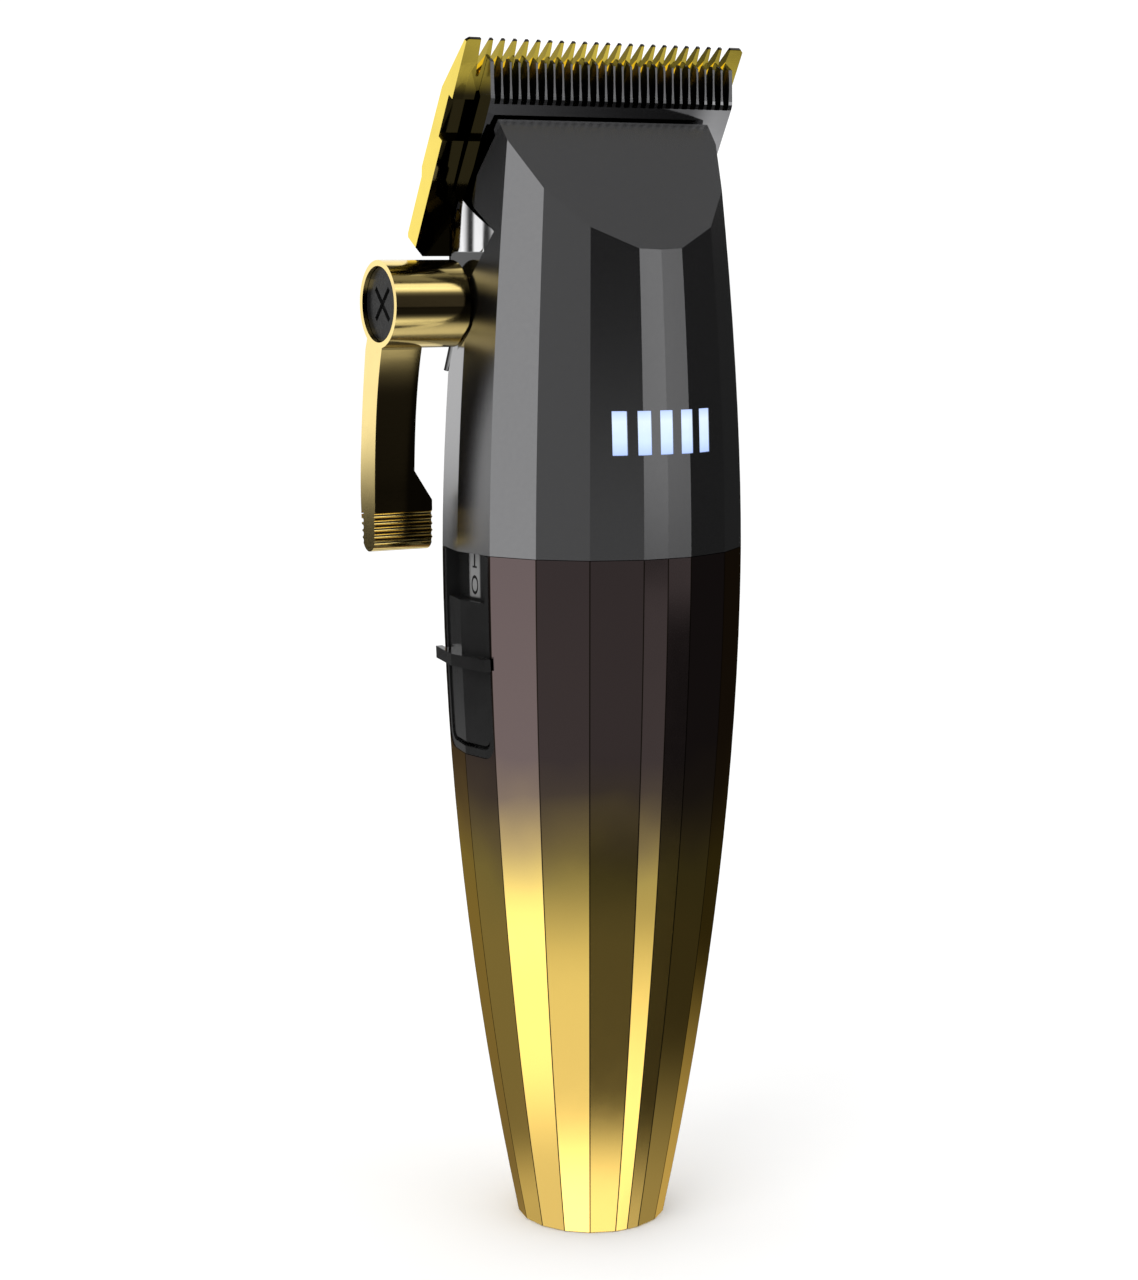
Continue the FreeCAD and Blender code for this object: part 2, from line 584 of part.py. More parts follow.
def switch_bezel():
    """Liner of the switch window, with a channel for the slider and a slot for its stem."""
    top = SEAM_Z - LOOSE
    liner = body_solid(SWITCH_FROM_Z, top, BEZEL_INSET).cut(body_solid(SWITCH_FROM_Z, top, BEZEL_BACK_INSET))
    liner = liner.common(switch_window(SWITCH_HALF_WIDTH, SWITCH_Z0, top, BEZEL_CORNER))
    half = SLIDER_HALF_WIDTH + CHANNEL_GAP
    channel = switch_window(half, SWITCH_Z0 + CHANNEL_RISE, SEAM_Z + PAST, CHANNEL_CORNER)
    channel = channel.cut(body_solid(SWITCH_FROM_Z, SEAM_Z + 2 * PAST, CHANNEL_INSET))
    return liner.cut(channel).cut(box(*STEM_SLOT))


def switch_slider():
    """Faceted panel with a thumb ridge whose ends reach over the window's edges."""
    panel = body_solid(SWITCH_FROM_Z, SLIDER_TOP_Z, SLIDER_INSET)
    panel = panel.cut(body_solid(SWITCH_FROM_Z, SLIDER_TOP_Z, SLIDER_BACK_INSET))
    panel = panel.common(switch_window(SLIDER_HALF_WIDTH, SLIDER_Z0, SLIDER_Z1, SLIDER_CORNER))
    band = body_solid(THUMB_Z0, THUMB_Z1, -THUMB_OUT)
    ridge = band.cut(body_solid(THUMB_Z0 - PAST, THUMB_Z1 + PAST, THUMB_ROOT))
    ridge = ridge.common(box(-FAR, 0, -SLIDER_HALF_WIDTH, SLIDER_HALF_WIDTH, THUMB_Z0, THUMB_Z1))
    half = SWITCH_HALF_WIDTH + WING_REACH
    wings = band.cut(body_solid(THUMB_Z0 - PAST, THUMB_Z1 + PAST, -WING_ROOT))
    wings = wings.common(box(-FAR, 0, -half, half, THUMB_Z0, THUMB_Z1))
    return union([panel, ridge, wings, box(*STEM)])


def switch_board():
    return box(*SWITCH_BOARD)


def slide_switch():
    """Body of the small slide switch, open towards the stem."""
    return box(*SWITCH_BODY).cut(box(*SWITCH_HOLLOW))


def switch_nub():
    """The small switch's own knob, held against the slider's stem."""
    return box(*SWITCH_NUB)


# ---------------------------------------------------------------- motor

def motor_can():
    can = rod_z(0, MOTOR_Y, MOTOR_R, MOTOR_Z0, MOTOR_Z1)
    can = can.cut(rod_z(0, MOTOR_Y, MOTOR_R - MOTOR_WALL, MOTOR_Z0 - PAST, MOTOR_Z1 - MOTOR_TOP))
    can = can.fuse(rod_z(0, MOTOR_Y, MOTOR_BOSS_R, MOTOR_Z1 - MOTOR_TOP, MOTOR_BOSS_Z))
    can = can.cut(rod_z(0, MOTOR_Y, SHAFT_BORE_R, MOTOR_Z0, MOTOR_BOSS_Z + PAST))
    for x in (-MOTOR_SCREW_X, MOTOR_SCREW_X):
        can = can.cut(rod_z(x, MOTOR_Y, MOTOR_SCREW_HOLE_R, MOTOR_Z1 - MOTOR_TOP - PAST, MOTOR_Z1 + PAST))
    return can.removeSplitter()


def motor_end_bell():
    bell = rod_z(0, MOTOR_Y, MOTOR_R - LOOSE, END_BELL_Z0, MOTOR_Z0)
    bell = bell.cut(rod_z(0, MOTOR_Y, MOTOR_R - LOOSE - END_BELL_WALL, END_BELL_FLOOR_Z, MOTOR_Z0 + PAST))
    return bell.cut(rod_z(0, MOTOR_Y, SHAFT_BORE_R, END_BELL_Z0 - PAST, MOTOR_Z0 + PAST))


def motor_magnets():
    ring = rod_z(0, MOTOR_Y, MOTOR_R - MAGNET_OUTER, MAGNET_Z0, MAGNET_Z1)
    ring = ring.cut(rod_z(0, MOTOR_Y, MOTOR_R - MAGNET_INNER, MAGNET_Z0 - PAST, MAGNET_Z1 + PAST))
    ring = ring.cut(box(-MAGNET_GAP, MAGNET_GAP, -FAR, FAR, MAGNET_Z0 - PAST, MAGNET_Z1 + PAST))
    return Part.Compound(ring.Solids)


def motor_armature():
    """Three-pole rotor with its commutator."""
    core = rod_z(0, MOTOR_Y, ROTOR_R, ROTOR_Z0, ROTOR_Z1)
    for turn in (60, 180, 300):
        slot = box(ROTOR_SLOT_R, MOTOR_R, -ROTOR_SLOT, ROTOR_SLOT, ROTOR_Z0 - PAST, ROTOR_Z1 + PAST)
        slot.rotate(Vector(0, 0, 0), Vector(0, 0, 1), turn)
        slot.translate(Vector(0, MOTOR_Y, 0))
        core = core.cut(slot)
    core = core.fuse(rod_z(0, MOTOR_Y, COMMUTATOR_R, COMMUTATOR_Z, ROTOR_Z0))
    return core.cut(rod_z(0, MOTOR_Y, MOTOR_SHAFT_R, COMMUTATOR_Z - PAST, ROTOR_Z1 + PAST)).removeSplitter()


def motor_shaft():
    return rod_z(0, MOTOR_Y, MOTOR_SHAFT_R, MOTOR_SHAFT_Z0, MOTOR_SHAFT_Z1)


def eccentric():
    """Balance disc on the shaft with an off-centre pin, shown at the +X end of its throw."""
    disc = rod_z(0, MOTOR_Y, DISC_R, DISC_Z0, DISC_Z1)
    disc = disc.cut(rod_z(0, MOTOR_Y, MOTOR_SHAFT_R, DISC_Z0 - PAST, MOTOR_SHAFT_Z1))
    return disc.fuse(rod_z(STROKE, MOTOR_Y, ECCENTRIC_PIN_R, DISC_Z1, ECCENTRIC_TOP_Z)).removeSplitter()


def eccentric_bearing():
    ring = rod_z(STROKE, MOTOR_Y, BEARING_R, BEARING_Z0, BEARING_Z1)
    return ring.cut(rod_z(STROKE, MOTOR_Y, ECCENTRIC_PIN_R, BEARING_Z0 - PAST, BEARING_Z1 + PAST))


def motor_bracket():
    """Plate on top of the motor that ties it to the head frame."""
    z0, z1 = BRACKET[4:]
    plate = box(*BRACKET).common(body_solid(z0 - BRACKET_MARGIN, z1 + BRACKET_MARGIN, BRACKET_INSET))
    plate = plate.cut(rod_z(0, MOTOR_Y, MOTOR_BOSS_R + LOOSE, z0 - PAST, z1 + PAST))
    for x in (-MOTOR_SCREW_X, MOTOR_SCREW_X):
        plate = plate.cut(rod_z(x, MOTOR_Y, MOTOR_SCREW_HOLE_R + LOOSE, z0 - PAST, z1 + PAST))
    return plate


def motor_screws():
    screws = []
    top = BRACKET[5]
    for x in (-MOTOR_SCREW_X, MOTOR_SCREW_X):
        head = rod_z(x, MOTOR_Y, MOTOR_SCREW_HEAD_R, top + SNUG, top + MOTOR_SCREW_HEAD)
        slot = box(x - MOTOR_SCREW_HEAD_R, x + MOTOR_SCREW_HEAD_R, MOTOR_Y - MOTOR_SCREW_SLOT,
                   MOTOR_Y + MOTOR_SCREW_SLOT, top + MOTOR_SCREW_HEAD / 2, top + 2 * MOTOR_SCREW_HEAD)
        shank = rod_z(x, MOTOR_Y, MOTOR_SCREW_HOLE_R - SNUG, MOTOR_Z1 - PAST, top + SNUG)
        screws.append(head.cut(slot).fuse(shank).removeSplitter())
    return Part.Compound(screws)


# ---------------------------------------------------------------- head frame and lever

def neck():
    """Round neck that flares at its foot."""
    foot = Vector(0, NECK_Y, NECK_Z0)
    flare = Part.makeCone(NECK_FLARE_R, NECK_R, NECK_Z1 - NECK_Z0, foot, Vector(0, 0, 1))
    return flare.fuse(rod_z(0, NECK_Y, NECK_R, NECK_Z1, NECK_TOP_Z))


def blade_frame_rooms():
    """Rooms cut out of the head frame for the blades, the carriage and the drive."""
    under_skin = body_solid(SKIRT_Z0 - PAST, HEEL_OUTLINE[-1][1], HEAD_WALL + LOOSE + FRAME_WALL)
    hollow = under_skin.common(on_blade(box(*HOLLOW_FRONT)))
    blade_room = on_blade(box(-FAR, FAR, 0, FAR, -FIXED_LENGTH - FRAME_BELOW_BLADE, FAR))
    above_seat = on_blade(box(-FAR, FAR, CHEEK_BACK, FAR, SEAT_TOP, FAR))
    above_cheeks = on_blade(box(-FAR, FAR, -FAR, CHEEK_BACK, CHEEK_TOP, FAR))
    above_bracket = box(-FAR, FAR, -FAR, FAR, BRACKET[5] + 2 * LOOSE, ABOVE_ALL_Z)
    between_walls = on_blade(box(*BETWEEN_WALLS)).common(above_bracket)
    carriage_rooms = [on_blade(box(*room)) for room in (CARRIAGE_ROOM, WING_ROOM, CARRIAGE_ROOM_DEEP)]
    return [hollow, blade_room, above_seat, above_cheeks, between_walls] + carriage_rooms


def head_frame():
    """Bright inner frame: it seats the blade, closes the back of the head and carries the lever."""
    heel = prism_x(HEEL_OUTLINE, -FAR, FAR)
    seat = on_blade(prism_y(SEAT_OUTLINE, *SEAT_DEPTH)).common(rod_z(0, NECK_Y, NECK_R, NECK_Z1, ABOVE_ALL_Z))
    shown = neck().fuse(seat).common(heel).common(behind_rear_edge(REAR_EDGE_GAP))
    frame = shown.fuse(body_solid(SKIRT_Z0, SKIRT_Z1, HEAD_WALL + LOOSE))
    for room in blade_frame_rooms():
        frame = frame.cut(room)
    frame = frame.cut(prism_x(POCKET_OUTLINE, -FAR, POCKET_FLOOR_X)).cut(hub_room())
    frame = frame.cut(on_lever_axis(BUSH_R, HUB_OUTER_X, CRANK_PIN_X))
    frame = frame.cut(on_lever_axis(CRANK_ROOM_R, BUSH_X1, CRANK_PIN_X + CRANK_ROOM_END))
    for x in (-BLADE_SCREW_X, BLADE_SCREW_X):
        hole = rod_y(x, -BLADE_SCREW_DOWN, BLADE_SCREW_R + SNUG, BLADE_SCREW_TIP - SNUG, BLADE_BEHIND)
        frame = frame.cut(on_blade(hole))
    return largest(frame)


def curve(points):
    """Smooth edge through (y, z) points at the hub's outer face."""
    spline = Part.BSplineCurve()
    spline.interpolate([Vector(HUB_OUTER_X, y, z) for y, z in points])
    return spline.toShape()


def lever_arm():
    """Curved flat arm, thicker at the thumb pad."""
    start, end = [Vector(HUB_OUTER_X, *place) for place in (ARM_FRONT[-1], ARM_BACK[0])]
    tip = Part.Arc(start, Vector(HUB_OUTER_X, *ARM_TIP), end).toShape()
    root = Part.makePolygon([Vector(HUB_OUTER_X, y, z) for y, z in ARM_ROOT])
    outline = Part.Wire(Part.__sortEdges__([curve(ARM_FRONT), tip, curve(ARM_BACK)] + root.Edges))
    blank = Part.Face(outline).extrude(Vector(PAD_INNER_X - HUB_OUTER_X, 0, 0))
    behind = [(ARM_INNER_X, LEVER_Z), (ARM_INNER_X, ARM_STEP_Z1), (PAD_INNER_X, ARM_STEP_Z0)]
    behind += [(0, ARM_STEP_Z0), (0, LEVER_Z)]
    return blank.cut(prism_y(behind, -FAR, FAR))


def taper_lever():
    """Round hub and a curved arm that ends in a ribbed thumb pad, turned in towards the body."""
    lever = lever_arm().fuse(on_lever_axis(HUB_R, HUB_OUTER_X, HUB_INNER_X))
    for rib in range(RIBS):
        z = RIB_Z0 + rib * RIB_PITCH
        for y in (ARM_FRONT[-1][0], ARM_BACK[0][0]):
            lever = lever.cut(rod_x(y, z, RIB_GROOVE_R, HUB_OUTER_X - PAST, PAD_INNER_X + PAST))
    lever = lever.cut(on_lever_axis(HUB_RECESS_R, HUB_OUTER_X - PAST, HUB_OUTER_X + HUB_RECESS_DEPTH))
    lever = lever.cut(on_lever_axis(SHAFT_R, HUB_OUTER_X, HUB_INNER_X + PAST))
    return largest(lever.removeSplitter())


def lever_cap():
    """Round black screw cap in the hub, with a cross recess."""
    cap = on_lever_axis(LEVER_CAP_R, LEVER_CAP_X, HUB_OUTER_X + HUB_RECESS_DEPTH - SNUG)
    for turn in (45, 135):
        slot = box(LEVER_CAP_X - PAST, LEVER_CAP_X + CROSS_DEPTH, LEVER_Y - CROSS_HALF_LENGTH,
                   LEVER_Y + CROSS_HALF_LENGTH, LEVER_Z - CROSS_HALF_WIDTH, LEVER_Z + CROSS_HALF_WIDTH)
        slot.rotate(Vector(0, LEVER_Y, LEVER_Z), Vector(1, 0, 0), turn)
        cap = cap.cut(slot)
    return cap


def lever_shaft():
    return on_lever_axis(SHAFT_R, HUB_OUTER_X + HUB_RECESS_DEPTH + LOOSE, SHAFT_INNER_X)


def lever_bush():
    bush = on_lever_axis(BUSH_R, BUSH_X0, BUSH_X1)
    return bush.cut(on_lever_axis(BUSH_BORE_R, BUSH_X0 - PAST, BUSH_X1 + PAST))


def crank_pin_place():
    """(y, z) of the crank pin at rest: half a swing below the direction square to the blade plane."""
    lean = math.radians(BLADE_LEAN)
    half = math.radians(LEVER_SWING / 2)
    out = (-math.cos(lean), -math.sin(lean))
    down = (math.sin(lean), -math.cos(lean))
    y = LEVER_Y + CRANK_R * (math.cos(half) * out[0] + math.sin(half) * down[0])
    z = LEVER_Z + CRANK_R * (math.cos(half) * out[1] + math.sin(half) * down[1])
    return y, z


def lever_crank():
    """Disc on the inner end of the lever shaft with the pin that lifts the carriage."""
    y, z = crank_pin_place()
    disc = on_lever_axis(CRANK_DISC_R, CRANK_X0, CRANK_X1)
    disc = disc.cut(on_lever_axis(SHAFT_R, CRANK_X0 - PAST, SHAFT_INNER_X))
    return disc.fuse(rod_x(y, z, CRANK_PIN_R, CRANK_X1, CRANK_PIN_X)).removeSplitter()


# ---------------------------------------------------------------- blades, carriage and drive

def fixed_gap(x):
    """Tapering gap between two fixed teeth, with a round root."""
    root = -FIXED_GAP_DEPTH + FIXED_GAP_ROOT
    top, low = FIXED_GAP_TOP, FIXED_GAP_ROOT
    left = [(x - top, LOOSE), (x - top, 0), (x - low, root)]
    outline = left + [(x + low, root), (x + top, 0), (x + top, LOOSE)]
    return [prism_y(outline, -PAST, BLADE_BEHIND), rod_y(x, root, FIXED_GAP_ROOT, -PAST, BLADE_BEHIND)]


def blade_corner(side, z, size, outward):
    """Three-sided cut across an outer corner of the fixed blade."""
    edge = side * FIXED_HALF_WIDTH
    outline = [(edge - side * size, z), (edge - side * size, z + outward), (edge + side, z + outward),
               (edge + side, z - outward * size), (edge, z - outward * size)]
    return prism_y(outline, -PAST, BLADE_BEHIND)


def fixed_blade():
    """Wide lower blade: narrow pointed teeth, a groove across its face and a stepped back."""
    blade = prism_x(FIXED_PROFILE, -FIXED_HALF_WIDTH, FIXED_HALF_WIDTH)
    cutters = []
    for gap in range(FIXED_TEETH + 1):
        cutters += fixed_gap((gap - FIXED_TEETH / 2) * FIXED_PITCH)
    for side in (-1, 1):
        cutters.append(blade_corner(side, 0, TIP_CORNER, 1))
        cutters.append(blade_corner(side, -FIXED_LENGTH, HEEL_CORNER, -1))
    blade = blade.cut(Part.Compound(cutters))
    for x in (-BLADE_SCREW_X, BLADE_SCREW_X):
        blade = blade.cut(rod_y(x, -BLADE_SCREW_DOWN, BLADE_SCREW_HOLE_R, -PAST, BLADE_BEHIND))
        sink = BLADE_SCREW_HEAD_R + 2 * LOOSE
        blade = blade.cut(rod_y(x, -BLADE_SCREW_DOWN, sink, BLADE_SCREW_SEAT, BLADE_BEHIND))
    return on_blade(blade)


def grinding_wheel(x):
    """Bevelled wheel that leaves one scooped gap in the moving blade."""
    axis = Vector(x, -WHEEL_FRONT, -WHEEL_DOWN)
    section = [(-WHEEL_HUB, WHEEL_HUB_R), (-WHEEL_RIM, WHEEL_R)]
    section += [(WHEEL_RIM, WHEEL_R), (WHEEL_HUB, WHEEL_HUB_R)]
    points = [axis + Vector(side, radius, 0) for side, radius in section]
    return filled(points).revolve(axis, Vector(1, 0, 0), 360)


def moving_blade():
    """Narrower cutting blade in front of the fixed one, with wheel-ground teeth."""
    half = (MOVING_TEETH - 1) / 2 * MOVING_PITCH + MOVING_HALF_TOOTH
    blade = prism_x(MOVING_PROFILE, STROKE - half, STROKE + half)
    cutters = []
    for gap in range(MOVING_TEETH - 1):
        cutters.append(grinding_wheel(STROKE + (gap - (MOVING_TEETH - 2) / 2) * MOVING_PITCH))
    return on_blade(blade.cut(Part.Compound(cutters)))


def drive_yoke():
    """Fork round the eccentric, with two cheeks that rise to the moving blade's front face."""
    x0 = STROKE - YOKE_HALF_WIDTH
    x1 = STROKE + YOKE_HALF_WIDTH
    plate = box(x0, x1, YOKE_PLATE_Y0, YOKE_PLATE_Y1, YOKE_Z0, YOKE_Z1)
    slot = box(STROKE - YOKE_SLOT_HALF_WIDTH, STROKE + YOKE_SLOT_HALF_WIDTH, MOTOR_Y - YOKE_SLOT_FRONT,
               MOTOR_Y + YOKE_SLOT_BACK, YOKE_Z0 - PAST, YOKE_Z1 + PAST)
    cheeks = [prism_x(CHEEK_OUTLINE, side, side + YOKE_CHEEK) for side in (x0, x1 - YOKE_CHEEK)]
    behind_blade = on_blade(box(-FAR, FAR, -MOVING_FRONT, FAR, -FAR, FAR))
    return largest(union([plate] + cheeks).cut(slot).cut(behind_blade))


def blade_carriage():
    """Slide under the moving blade's lower edge, with an arm down to the lever crank."""
    lip = box(*CARRIAGE_LIP).cut(box(*CARRIAGE_LIP_GAP))
    wings = [box(*wing) for wing in CARRIAGE_WINGS]
    carriage = union([box(*CARRIAGE_BAR), lip, box(*CARRIAGE_ARM), box(*CARRIAGE_DROP)] + wings)
    return on_blade(carriage.cut(box(*CRANK_SLOT)))


def tension_spring():
    """Two leaf arms on the carriage's lip that press the moving blade against the fixed one."""
    leaves = []
    for x in (-LEAF_X, LEAF_X):
        leaves.append(union([prism_x(outline, x - LEAF_HALF_WIDTH, x + LEAF_HALF_WIDTH)
                             for outline in (LEAF_FOOT, LEAF_RISE, LEAF_TOE)]))
    return on_blade(Part.Compound(leaves))


def blade_screws():
    """Two countersunk screws from the blade's back into the head frame."""
    screws = []
    z = -BLADE_SCREW_DOWN
    for x in (-BLADE_SCREW_X, BLADE_SCREW_X):
        head = rod_y(x, z, BLADE_SCREW_HEAD_R, BLADE_SCREW_SEAT, BLADE_SCREW_BACK)
        slot = box(x - BLADE_SCREW_HEAD_R, x + BLADE_SCREW_HEAD_R, (BLADE_SCREW_SEAT + BLADE_SCREW_BACK) / 2,
                   BLADE_BEHIND, z - DRIVER_SLOT, z + DRIVER_SLOT)
        shank = rod_y(x, z, BLADE_SCREW_R, BLADE_SCREW_TIP, BLADE_SCREW_SEAT)
        screws.append(head.cut(slot).fuse(shank).removeSplitter())
    return on_blade(Part.Compound(screws))


MAKERS = [lower_housing, head_housing, seam_ring, end_cap, end_cap_screws, dc_jack, charge_contacts,
          chassis, battery_cell, cell_contacts, main_board, board_parts, indicator_board,
          indicator_leds, indicator_lens, switch_bezel, switch_slider, switch_board, slide_switch,
          switch_nub, motor_can, motor_end_bell, motor_magnets, motor_armature, motor_shaft,
          eccentric, eccentric_bearing, motor_bracket, motor_screws, head_frame, taper_lever,
          lever_cap, lever_shaft, lever_bush, lever_crank, fixed_blade, moving_blade, drive_yoke,
          blade_carriage, tension_spring, blade_screws]


def main():
    os.makedirs("parts", exist_ok=True)
    for make in MAKERS:
        shape = make()
        print(make.__name__, len(shape.Solids), round(shape.Volume, 1), shape.isValid(), flush=True)
        shape.exportStep("parts/" + make.__name__ + ".step")


main()
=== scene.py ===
import json
import math
import bmesh
import bpy
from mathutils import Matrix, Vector


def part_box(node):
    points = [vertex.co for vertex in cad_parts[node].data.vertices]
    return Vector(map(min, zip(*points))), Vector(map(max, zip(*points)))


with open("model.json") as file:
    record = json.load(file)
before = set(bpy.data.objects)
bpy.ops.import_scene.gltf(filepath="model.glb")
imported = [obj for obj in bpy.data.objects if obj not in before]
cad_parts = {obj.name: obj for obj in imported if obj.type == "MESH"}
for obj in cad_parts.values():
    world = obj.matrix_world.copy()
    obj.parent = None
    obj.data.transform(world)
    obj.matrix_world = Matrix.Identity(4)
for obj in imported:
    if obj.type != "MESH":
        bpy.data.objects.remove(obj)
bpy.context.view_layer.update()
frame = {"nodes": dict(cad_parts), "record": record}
nodes = frame["nodes"]

MM = 0.001                  # metres; lengths below are in millimetres unless they say otherwise

# The body. Its height and its fade are measured up from the tail.
SEAM_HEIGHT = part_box("lower_housing")[1].z / MM
RIDGE_STEP = 20.0           # degrees between ridges, from 10 off the front; one more stands at the front
RIDGE_LINE = (0.05, 0.13)   # half width of the dark line along a ridge, and where it has faded out
FADE_DRIFT = 2.5            # how far the fade wanders up and down
FADE = [                    # colour at each part of the height up to the seam
    (0.0, (1.0, 0.68, 0.18)),
    (0.45, (1.0, 0.70, 0.17)),
    (0.54, (0.86, 0.64, 0.17)),
    (0.61, (0.56, 0.41, 0.17)),
    (0.68, (0.25, 0.185, 0.14)),
    (0.73, (0.18, 0.135, 0.13)),
    (1.0, (0.160, 0.122, 0.122)),
]

# The blades. Their shaded parts are measured down from their tips.
FIXED_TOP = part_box("fixed_blade")[1].z / MM
MOVING_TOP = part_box("moving_blade")[1].z / MM
TIP_CAP = 0.35              # height of the dark caps on the fixed teeth
TIP_EDGE = 0.08             # softness of their lower edge
SHADE_START = 4.5           # painted shade on the fixed blade's front starts this far below its tips
SHADE_FULL = 8.0            # and is fully dark here
TEETH_HEIGHT = 5.2          # upright height of the moving teeth, which lean
TEETH_EDGE = 0.1            # softness of their foot
COVER_SHADE = (14.0, 19.0)  # x where the painted dark reflection of the cover on the moving blade's body starts to fade, and where it is gone

# Faces picked out by the way they look. A face is a front where its normal's y is below the first number, and
# isn't one above the second. It is a side where the size of its normal's x is above the second.
BLADE_FRONT = (-0.75, -0.65)
TOOTH_FRONT = (-0.99, -0.95)
LEVER_FRONT = (-0.985, -0.90)
SIDE_FACE = (0.9, 0.95)

# The neck.
DARK_REFLECTION_SIDE = (-17.0, -16.0)    # painted dark reflection left of the first x, clear right of the second
DARK_REFLECTION_BACK = (2.0, 7.5)        # clear in front of the first y, painted dark reflection behind the second
POCKET_TOP = 147.9              # top of the pocket behind the lever hub
POCKET_EDGE = 0.1               # half the softness of the painted dark reflection there

# The two marks above the switch.
MARK_Y = -0.9               # middle of both marks
MARK_EDGE = 0.04            # softness of their edges
I_Z = 103.2                 # height of the I's middle
I_HALF = (0.16, 1.1)        # half width and half height of its stroke
FOOT_DROP = 1.05            # its foot stands this far below its middle
FOOT_HALF = (0.5, 0.12)     # half width and half height of the foot
ZERO_Z = 99.5               # height of the 0's middle
ZERO_HALF = (0.68, 1.2)     # half width and half height of the 0
ZERO_LINE = (0.15, 0.08)    # half width and softness of its line, as parts of its size
PATCH_SHIFT = 0.2           # the painted grey reflection lies this far behind the marks' middle
PATCH_HALF = (1.2, 0.5)     # its half width and softness
PATCH_FOOT = (2.0, 1.6)     # it starts this far below the 0's middle, and is full here

CELL_BAND = (74.0, 74.3)    # height of the dark band's lower edge on the battery cell

# Noise.
NOISE_ROUGHNESS = 0.55      # share that each finer octave keeps
CLOUD = (0.3, 0.7)          # the part of a noise's range that its values mostly fill


# ---------------------------------------------------------------- shader helpers

class Shader:
    """A material with short calls for the nodes that this scene uses. Lengths in it are in millimetres."""

    def __init__(self, name):
        self.material = bpy.data.materials.new(name)
        self.material.use_nodes = True
        self.tree = self.material.node_tree
        self.surface = self.tree.nodes["Principled BSDF"]
        scaled = self.node("ShaderNodeVectorMath", operation="SCALE")
        self.link(self.node("ShaderNodeTexCoord").outputs["Object"], scaled.inputs[0])
        scaled.inputs["Scale"].default_value = 1 / MM
        self.place = scaled.outputs[0]

    def node(self, kind, **settings):
        made = self.tree.nodes.new(kind)
        for key, value in settings.items():
            setattr(made, key, value)
        return made

    def link(self, source, target):
        self.tree.links.new(source, target)

    def put(self, value, target):
        """A number or colour goes on the socket itself, and an output is linked."""
        if isinstance(value, bpy.types.NodeSocket):
            self.link(value, target)
        else:
            target.default_value = value

    def set(self, **inputs):
        """Sets inputs of the surface shader: base_color=..., roughness=..."""
        for key, value in inputs.items():
            self.put(value, self.surface.inputs[key.replace("_", " ").title().replace("Ior", "IOR")])
        return self

    def math(self, operation, a, b=0.0):
        made = self.node("ShaderNodeMath", operation=operation)
        self.put(a, made.inputs[0])
        self.put(b, made.inputs[1])
        return made.outputs[0]

    def product(self, a, b):
        return self.math("MULTIPLY", a, b)

    def difference(self, a, b):
        return self.math("SUBTRACT", a, b)

    def distance(self, a, b):
        return self.math("ABSOLUTE", self.difference(a, b))

    def largest(self, a, *others):
        for other in others:
            a = self.math("MAXIMUM", a, other)
        return a

    def half_turn(self, angle):
        """The angle in degrees, brought between -180 and 180."""
        made = self.node("ShaderNodeMath", operation="WRAP")
        for socket, item in zip(made.inputs, (angle, 180.0, -180.0)):
            self.put(item, socket)
        return made.outputs[0]

    def axes(self, vector=None):
        split = self.node("ShaderNodeSeparateXYZ")
        self.link(vector or self.place, split.inputs[0])
        return split.outputs[0], split.outputs[1], split.outputs[2]

    def facing(self):
        """The direction that the surface faces, as x, y and z."""
        return self.axes(self.node("ShaderNodeTexCoord").outputs["Normal"])

    def around(self):
        """Degrees round the upright axis from the front, and the distance from that axis."""
        x, y, z = self.axes()
        azimuth = self.math("DEGREES", self.math("ARCTAN2", x, self.product(y, -1.0)))
        flat = self.node("ShaderNodeVectorMath", operation="LENGTH")
        self.link(self.stretch(1.0, 1.0, 0.0), flat.inputs[0])
        return azimuth, flat.outputs["Value"]

    def stretch(self, x, y, z):
        """The place with each axis scaled, so that a noise comes out as grain along one of them."""
        made = self.node("ShaderNodeVectorMath", operation="MULTIPLY")
        self.link(self.place, made.inputs[0])
        made.inputs[1].default_value = (x, y, z)
        return made.outputs[0]

    def noise(self, scale, detail=3.0, vector=None):
        made = self.node("ShaderNodeTexNoise")
        self.link(vector or self.place, made.inputs["Vector"])
        made.inputs["Scale"].default_value = scale
        made.inputs["Detail"].default_value = detail
        made.inputs["Roughness"].default_value = NOISE_ROUGHNESS
        return made.outputs["Fac"]

    def span(self, value, low, high, to_low=0.0, to_high=1.0, smooth=True):
        """Value between low and high, mapped to another range and held there outside it."""
        made = self.node("ShaderNodeMapRange", clamp=True)
        made.interpolation_type = "SMOOTHSTEP" if smooth else "LINEAR"
        for socket, item in zip(made.inputs, (value, low, high, to_low, to_high)):
            self.put(item, socket)
        return made.outputs[0]

    def cloud(self, noise, to_low, to_high):
        """A noise mapped to a range."""
        return self.span(noise, *CLOUD, to_low, to_high)

    def below(self, value, full, gone):
        """One up to full, falling to nothing at gone."""
        return self.span(value, full, gone, 1.0, 0.0)

    def near(self, value, centre, half, soft):
        """One within half of the centre, falling to nothing over soft."""
        return self.below(self.distance(value, centre), half, half + soft)

    def ramp(self, value, stops):
        """Colours at places from 0 to 1."""
        made = self.node("ShaderNodeValToRGB")
        elements = made.color_ramp.elements
        while len(elements) < len(stops):
            elements.new(0.5)
        for element, (place, colour) in zip(elements, stops):
            element.position = place
            element.color = (*colour, 1.0)
        self.link(value, made.inputs[0])
        return made.outputs[0]

    def mix(self, amount, a, b):
        made = self.node("ShaderNodeMix", data_type="RGBA")
        self.put(amount, made.inputs[0])
        self.put(a if isinstance(a, bpy.types.NodeSocket) else (*a, 1.0), made.inputs[6])
        self.put(b if isinstance(b, bpy.types.NodeSocket) else (*b, 1.0), made.inputs[7])
        return made.outputs[2]

